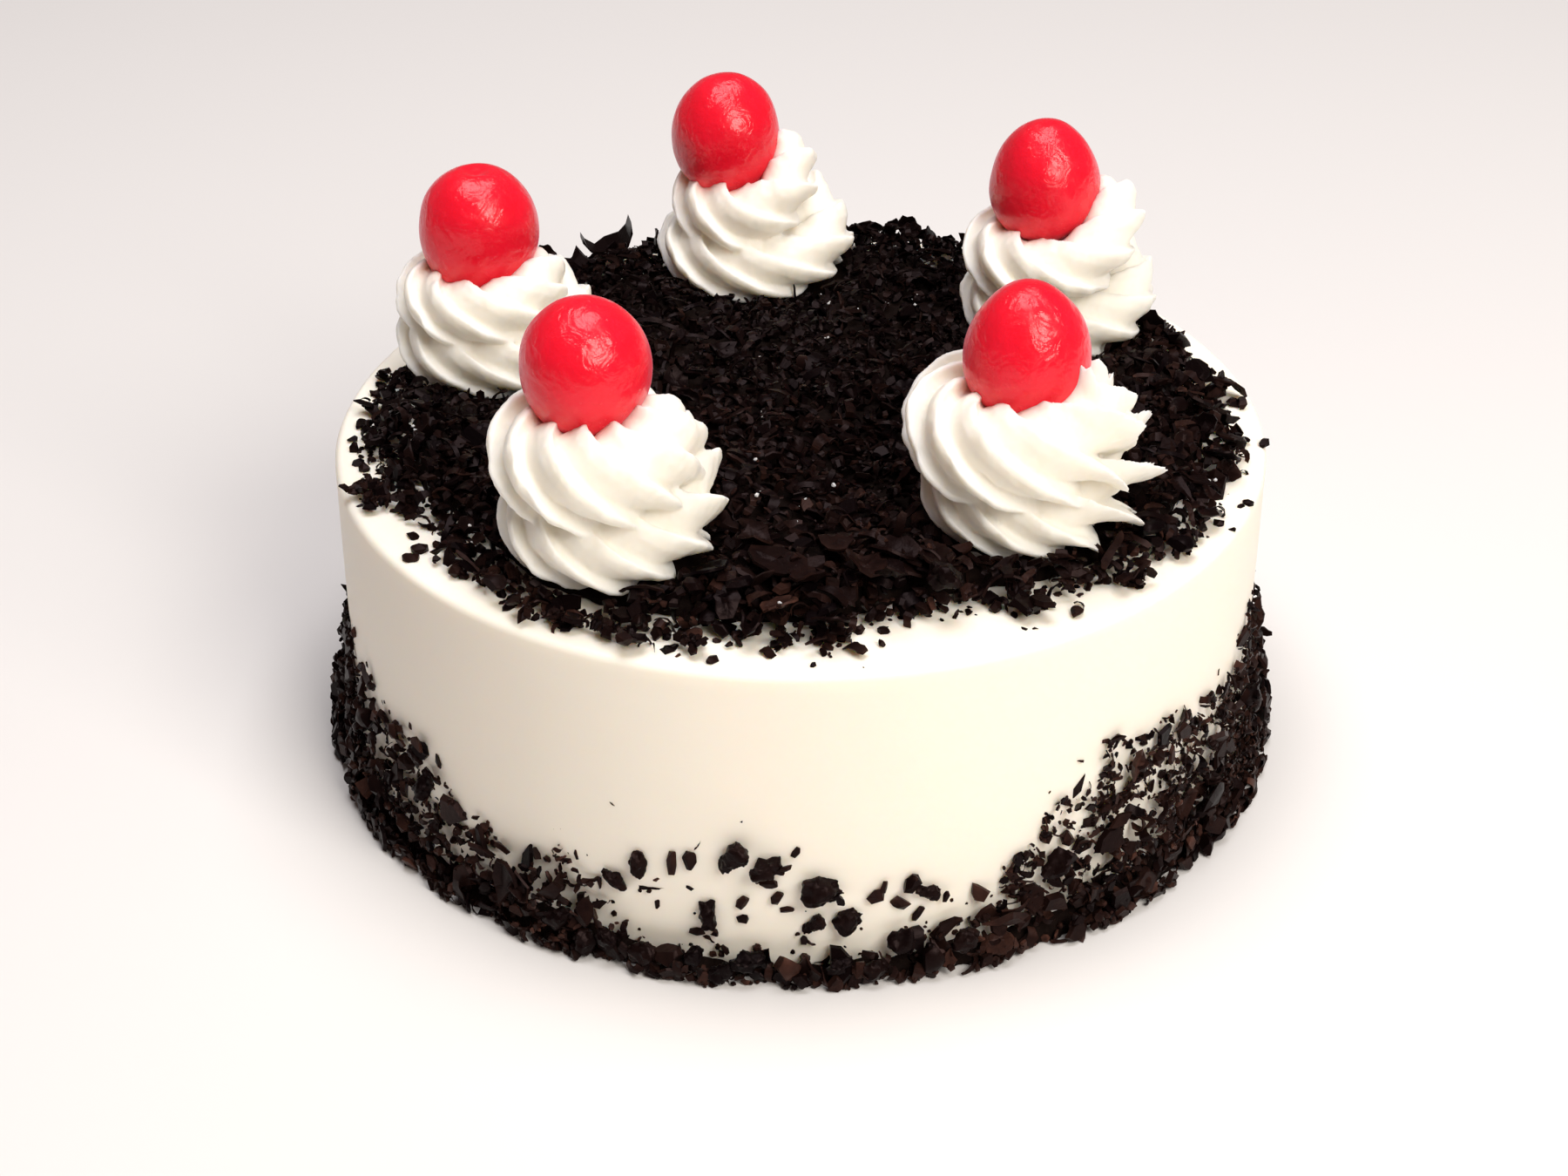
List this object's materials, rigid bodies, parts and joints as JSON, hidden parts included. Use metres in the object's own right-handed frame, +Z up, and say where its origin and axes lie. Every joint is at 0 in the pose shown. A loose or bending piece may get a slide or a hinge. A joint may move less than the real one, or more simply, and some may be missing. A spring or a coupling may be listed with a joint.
{
  "type": "black forest cake",
  "caption": "Round cream-coated black forest cake topped with dark chocolate shavings and piped cream rosettes that each hold a red cherry, with more shavings round its foot.",
  "frame": {"origin": "centre of the cake's flat base, on the surface that it stands on", "axes": "+Z up, -Y towards the front, which lies between the two taller rosettes, and +X to the right as seen from the front"},
  "size_m": [0.1777, 0.1766, 0.1064],
  "materials": {
    "cream": "satin",
    "piped_cream": "satin",
    "chocolate": "matte",
    "cherry": "gloss"
  },
  "bodies": {
    "root": {"cake": "cream", "shavings_top": "chocolate", "shavings_side": "chocolate", "rosette_front_left": "piped_cream", "cherry_front_left": "cherry", "rosette_front_right": "piped_cream", "cherry_front_right": "cherry", "rosette_back_right": "piped_cream", "cherry_back_right": "cherry", "rosette_back": "piped_cream", "cherry_back": "cherry", "rosette_back_left": "piped_cream", "cherry_back_left": "cherry"}
  },
  "joints": []
}
